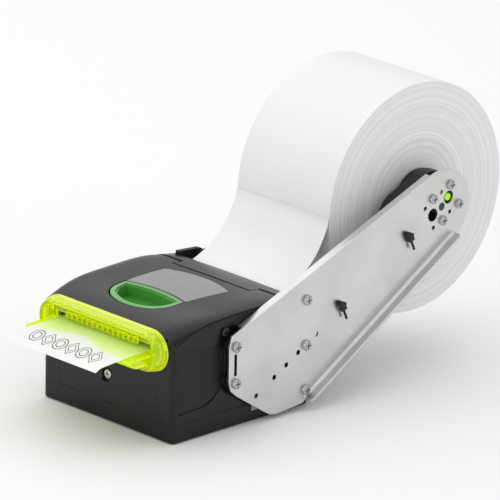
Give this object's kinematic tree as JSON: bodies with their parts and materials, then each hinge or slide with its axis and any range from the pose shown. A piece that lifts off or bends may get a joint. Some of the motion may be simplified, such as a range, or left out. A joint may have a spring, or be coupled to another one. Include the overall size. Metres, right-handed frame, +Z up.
{
  "type": "label maker",
  "caption": "Kiosk ticket and label printer: black housing, hinged cover with release lever, translucent lime ticket mouth and a side arm that carries a large paper roll.",
  "frame": {"origin": "centre of the four base screws, on the plane of the screw pads", "axes": "+X across the paper towards the side with the roll arm, -Y out of the ticket mouth, +Y back towards the roll, +Z up"},
  "size_m": [0.1266, 0.3344, 0.1763],
  "materials": {
    "housing": "satin",
    "side_inset": "fine texture",
    "inlay_grey": "satin",
    "lever_green": "satin",
    "lime_glow": "translucent",
    "screw_steel": "polished",
    "label": "satin",
    "sheet_steel": "satin",
    "arm_metal": "satin",
    "black_part": "satin",
    "rubber": "matte",
    "gear": "satin",
    "shaft_steel": "polished",
    "brass": "satin",
    "motor": "satin",
    "ceramic": "satin",
    "sink": "satin",
    "board": "satin",
    "chips": "satin",
    "paper": "matte",
    "core": "matte"
  },
  "bodies": {
    "printer": {"base_tray": "housing", "main_shell": "housing", "rear_deck": "housing", "side_panels": "side_inset", "service_door": "housing", "case_screws": "screw_steel", "rating_label": "label", "bezel_frame": "lime_glow", "bezel_comb": "lime_glow", "bezel_tongue": "lime_glow", "led_board": "board", "chassis_left": "sheet_steel", "chassis_right": "sheet_steel", "chassis_cross": "sheet_steel", "paper_ramp": "black_part", "bushings": "brass", "drive_motor": "motor", "cutter_guides": "black_part", "cutter_motor": "motor", "main_board": "board", "board_chips": "chips", "rear_sockets": "black_part", "inlet_brackets": "black_part", "roll_arm": "arm_metal", "arm_spacers": "black_part", "arm_screws": "screw_steel", "sensor_housing": "black_part", "sensor_lens": "lime_glow", "cable_ties": "black_part", "spindle": "shaft_steel", "retainer_knob": "black_part", "paper_web": "paper", "ticket": "paper"},
    "cover": {"cover": "housing", "cover_inlay": "inlay_grey", "cover_pins": "shaft_steel", "fixed_blade": "sheet_steel", "print_head": "ceramic", "head_heatsink": "sink", "head_springs": "shaft_steel"},
    "release_lever": {"release_lever": "lever_green"},
    "latch": {"latch_bar": "sheet_steel"},
    "platen": {"platen_shaft": "shaft_steel", "platen_rubber": "rubber", "platen_gear": "gear"},
    "feed_idler": {"idler_gear": "gear"},
    "feed_motor_shaft": {"motor_pinion": "brass"},
    "eject_roller": {"eject_shaft": "shaft_steel", "eject_rollers": "rubber", "eject_gear": "gear"},
    "eject_idler": {"eject_idler_gear": "gear"},
    "pinch_roller": {"pinch_roller": "black_part"},
    "cutter_blade": {"cutter_blade": "sheet_steel"},
    "cutter_shaft": {"cutter_pinion": "brass"},
    "inlet_roller": {"inlet_roller": "black_part"},
    "roll": {"hub_sleeve": "black_part", "roll_retainer": "black_part", "roll_core": "core", "paper_roll": "paper"}
  },
  "joints": [
    {"name": "cover_hinge", "type": "hinge", "parent": "printer", "child": "cover", "pos_m": [0, 0.033, 0.068], "axis": [-1, 0, 0], "range_deg": [0, 65]},
    {"name": "lever_lift", "type": "hinge", "parent": "cover", "child": "release_lever", "pos_m": [0, -0.0407, 0.0687], "axis": [1, 0, 0], "range_deg": [0, 16], "stiffness_Nm_per_rad": 0.03, "springref_deg": -5.73},
    {"name": "latch_turn", "type": "hinge", "parent": "cover", "child": "latch", "pos_m": [0, -0.0396, 0.0615], "axis": [1, 0, 0], "range_deg": [0, 20]},
    {"name": "platen_turn", "type": "hinge", "parent": "printer", "child": "platen", "pos_m": [0, -0.032, 0.049], "axis": [1, 0, 0], "continuous": true},
    {"name": "feed_idler_turn", "type": "hinge", "parent": "printer", "child": "feed_idler", "pos_m": [-0.0502, -0.0115, 0.0365], "axis": [1, 0, 0], "continuous": true},
    {"name": "feed_motor_turn", "type": "hinge", "parent": "printer", "child": "feed_motor_shaft", "pos_m": [-0.0502, 0.0077, 0.03652], "axis": [1, 0, 0], "continuous": true},
    {"name": "eject_idler_turn", "type": "hinge", "parent": "printer", "child": "eject_idler", "pos_m": [-0.0502, -0.04586, 0.04277], "axis": [1, 0, 0], "continuous": true},
    {"name": "eject_turn", "type": "hinge", "parent": "printer", "child": "eject_roller", "pos_m": [0, -0.0485, 0.052], "axis": [1, 0, 0], "continuous": true},
    {"name": "pinch_turn", "type": "hinge", "parent": "cover", "child": "pinch_roller", "pos_m": [0, -0.0485, 0.0602], "axis": [1, 0, 0], "continuous": true},
    {"name": "cutter_slide", "type": "slide", "parent": "printer", "child": "cutter_blade", "axis": [0, 0, 1], "range_m": [0, 0.0056]},
    {"name": "cutter_turn", "type": "hinge", "parent": "printer", "child": "cutter_shaft", "pos_m": [0, -0.0348, 0.032], "axis": [1, 0, 0], "range_deg": [-80.5, 0]},
    {"name": "inlet_turn", "type": "hinge", "parent": "printer", "child": "inlet_roller", "pos_m": [0, 0.0625, 0.0662], "axis": [1, 0, 0], "continuous": true},
    {"name": "roll_turn", "type": "hinge", "parent": "printer", "child": "roll", "pos_m": [0, 0.1594, 0.1037], "axis": [1, 0, 0], "continuous": true}
  ],
  "couplings": [
    {"joint": "latch_turn", "follows": "lever_lift", "ratio": 1.25},
    {"joint": "feed_idler_turn", "follows": "platen_turn", "ratio": -0.66667},
    {"joint": "feed_motor_turn", "follows": "platen_turn", "ratio": 2},
    {"joint": "eject_idler_turn", "follows": "platen_turn", "ratio": -1.7143},
    {"joint": "eject_turn", "follows": "platen_turn", "ratio": 2.4},
    {"joint": "cutter_turn", "follows": "cutter_slide", "rad_per_m": -250}
  ]
}
